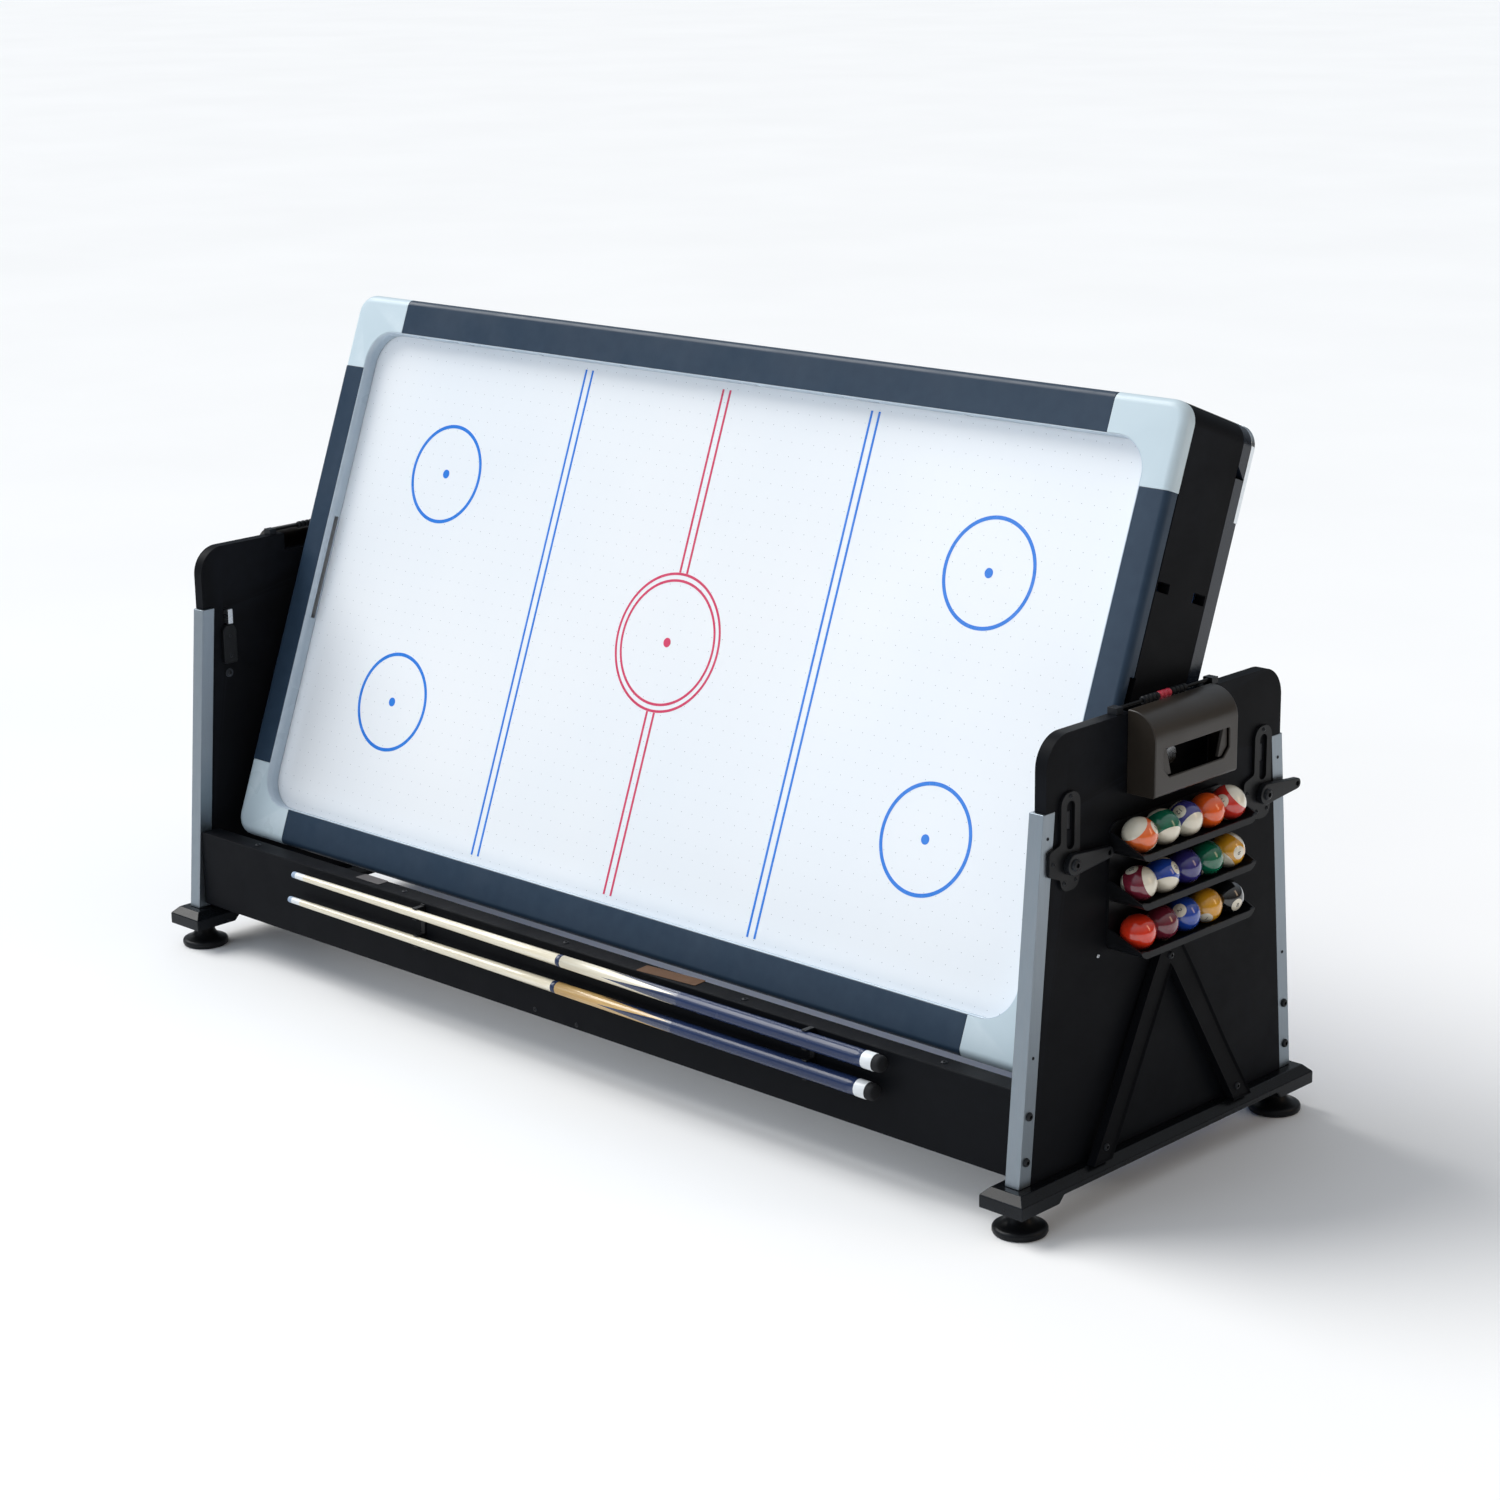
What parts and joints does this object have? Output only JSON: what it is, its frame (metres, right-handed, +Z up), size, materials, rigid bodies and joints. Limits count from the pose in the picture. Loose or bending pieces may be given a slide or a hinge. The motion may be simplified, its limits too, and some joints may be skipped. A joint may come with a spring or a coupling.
{
  "type": "flip-top games table",
  "caption": "Flip-top games table: air hockey deck and pool deck on one pivoting playfield between end panels, with ball rack, cues, scorers and feet.",
  "frame": {"origin": "on the floor under the middle of the table", "axes": "+Z up; +X along the table's length towards the ball rack; the cues hang on the -Y face"},
  "size_m": [2.202, 0.77, 1.2305],
  "materials": {
    "panel_black": "satin black laminate on fibreboard",
    "gloss_black": "gloss",
    "black_plastic": "fine moulded texture",
    "black_metal": "satin",
    "aluminium": "satin anodised",
    "steel": "brushed",
    "hockey_sheet": "gloss",
    "cloth": "wool nap",
    "slate_rail": "semi-gloss",
    "pool_rail": "satin laminate",
    "cap_plastic": "satin",
    "foot_plastic": "satin",
    "bead_plastic": "gloss",
    "ball_resin": "polished",
    "maple": "lacquered"
  },
  "bodies": {
    "stand": {"left_end_panel": "panel_black", "left_foot_bar": "gloss_black", "left_brace": "black_plastic", "left_puck_box": "black_plastic", "left_scorer_rail": "black_metal", "left_cue_clip": "black_plastic", "left_front_profile": "aluminium", "left_rear_profile": "aluminium", "right_end_panel": "panel_black", "right_foot_bar": "gloss_black", "right_brace": "black_plastic", "right_puck_box": "black_plastic", "right_scorer_rail": "black_metal", "right_cue_clip": "black_plastic", "right_front_profile": "aluminium", "right_rear_profile": "aluminium", "front_beam": "panel_black", "rear_beam": "panel_black", "ball_rack": "black_plastic"},
    "playfield": {"hockey_surface": "hockey_sheet", "pool_bed": "cloth", "blower_housing": "black_plastic", "left_pivot": "steel", "left_end_apron": "panel_black", "left_hockey_rail": "slate_rail", "left_pool_rail": "pool_rail", "left_front_hockey_cap": "cap_plastic", "left_rear_hockey_cap": "cap_plastic", "right_pivot": "steel", "right_end_apron": "panel_black", "right_hockey_rail": "slate_rail", "right_pool_rail": "pool_rail", "right_front_hockey_cap": "cap_plastic", "right_rear_hockey_cap": "cap_plastic", "front_apron": "panel_black", "front_hockey_rail": "slate_rail", "front_pool_rail": "pool_rail", "rear_apron": "panel_black", "rear_hockey_rail": "slate_rail", "rear_pool_rail": "pool_rail"},
    "impeller": {"blower_impeller": "steel"},
    "left_front_lever": {"left_front_latch_lever": "gloss_black"},
    "left_front_bolt": {"left_front_latch_bolt": "steel"},
    "left_front_foot": {"left_front_leveler": "foot_plastic"},
    "left_rear_lever": {"left_rear_latch_lever": "gloss_black"},
    "left_rear_bolt": {"left_rear_latch_bolt": "steel"},
    "left_rear_foot": {"left_rear_leveler": "foot_plastic"},
    "left_beads": {"left_scorer_beads": "bead_plastic"},
    "right_front_lever": {"right_front_latch_lever": "gloss_black"},
    "right_front_bolt": {"right_front_latch_bolt": "steel"},
    "right_front_foot": {"right_front_leveler": "foot_plastic"},
    "right_rear_lever": {"right_rear_latch_lever": "gloss_black"},
    "right_rear_bolt": {"right_rear_latch_bolt": "steel"},
    "right_rear_foot": {"right_rear_leveler": "foot_plastic"},
    "right_beads": {"right_scorer_beads": "bead_plastic"},
    "top_balls": {"top_ball_row": "ball_resin"},
    "middle_balls": {"middle_ball_row": "ball_resin"},
    "bottom_balls": {"bottom_ball_row": "ball_resin"},
    "upper_cue_stick": {"upper_cue": "maple"},
    "lower_cue_stick": {"lower_cue": "maple"}
  },
  "joints": [
    {"name": "playfield_flip", "type": "hinge", "parent": "stand", "child": "playfield", "pos_m": [0, 0, 0.695], "axis": [1, 0, 0], "range_deg": [-69.2, 110.8]},
    {"name": "blower_spin", "type": "hinge", "parent": "playfield", "child": "impeller", "pos_m": [0, 0, 0.695], "axis": [0, -0.9348, 0.3551], "continuous": true},
    {"name": "left_front_lever_turn", "type": "hinge", "parent": "stand", "child": "left_front_lever", "pos_m": [-1.04, -0.248, 0.577], "axis": [1, 0, 0], "range_deg": [0, 90]},
    {"name": "left_front_bolt_slide", "type": "slide", "parent": "stand", "child": "left_front_bolt", "axis": [1, 0, 0], "range_m": [0, 0.0181]},
    {"name": "left_front_foot_adjust", "type": "slide", "parent": "stand", "child": "left_front_foot", "axis": [0, 0, 1], "range_m": [-0.02, 0]},
    {"name": "left_rear_lever_turn", "type": "hinge", "parent": "stand", "child": "left_rear_lever", "pos_m": [-1.04, 0.248, 0.577], "axis": [1, 0, 0], "range_deg": [0, 90]},
    {"name": "left_rear_bolt_slide", "type": "slide", "parent": "stand", "child": "left_rear_bolt", "axis": [1, 0, 0], "range_m": [0, 0.0181]},
    {"name": "left_rear_foot_adjust", "type": "slide", "parent": "stand", "child": "left_rear_foot", "axis": [0, 0, 1], "range_m": [-0.02, 0]},
    {"name": "left_score_slide", "type": "slide", "parent": "stand", "child": "left_beads", "axis": [0, 1, 0], "range_m": [-0.057, 0.057]},
    {"name": "right_front_lever_turn", "type": "hinge", "parent": "stand", "child": "right_front_lever", "pos_m": [1.04, -0.248, 0.577], "axis": [1, 0, 0], "range_deg": [0, 90]},
    {"name": "right_front_bolt_slide", "type": "slide", "parent": "stand", "child": "right_front_bolt", "axis": [-1, 0, 0], "range_m": [0, 0.0181]},
    {"name": "right_front_foot_adjust", "type": "slide", "parent": "stand", "child": "right_front_foot", "axis": [0, 0, 1], "range_m": [-0.02, 0]},
    {"name": "right_rear_lever_turn", "type": "hinge", "parent": "stand", "child": "right_rear_lever", "pos_m": [1.04, 0.248, 0.577], "axis": [1, 0, 0], "range_deg": [0, 90]},
    {"name": "right_rear_bolt_slide", "type": "slide", "parent": "stand", "child": "right_rear_bolt", "axis": [-1, 0, 0], "range_m": [0, 0.0181]},
    {"name": "right_rear_foot_adjust", "type": "slide", "parent": "stand", "child": "right_rear_foot", "axis": [0, 0, 1], "range_m": [-0.02, 0]},
    {"name": "right_score_slide", "type": "slide", "parent": "stand", "child": "right_beads", "axis": [0, 1, 0], "range_m": [-0.057, 0.057]},
    {"name": "top_balls_lift_out", "type": "slide", "parent": "stand", "child": "top_balls", "axis": [0.9272, 0, 0.3746], "range_m": [0, 0.12]},
    {"name": "middle_balls_lift_out", "type": "slide", "parent": "stand", "child": "middle_balls", "axis": [0.9272, 0, 0.3746], "range_m": [0, 0.12]},
    {"name": "bottom_balls_lift_out", "type": "slide", "parent": "stand", "child": "bottom_balls", "axis": [0.9272, 0, 0.3746], "range_m": [0, 0.12]},
    {"name": "upper_cue_pull_out", "type": "slide", "parent": "stand", "child": "upper_cue_stick", "axis": [0, -1, 0], "range_m": [0, 0.15]},
    {"name": "lower_cue_pull_out", "type": "slide", "parent": "stand", "child": "lower_cue_stick", "axis": [0, -1, 0], "range_m": [0, 0.15]}
  ],
  "couplings": [
    {"joint": "left_front_bolt_slide", "follows": "left_front_lever_turn", "m_per_rad": 0.01146},
    {"joint": "left_rear_bolt_slide", "follows": "left_rear_lever_turn", "m_per_rad": 0.01146},
    {"joint": "right_front_bolt_slide", "follows": "right_front_lever_turn", "m_per_rad": 0.01146},
    {"joint": "right_rear_bolt_slide", "follows": "right_rear_lever_turn", "m_per_rad": 0.01146}
  ]
}
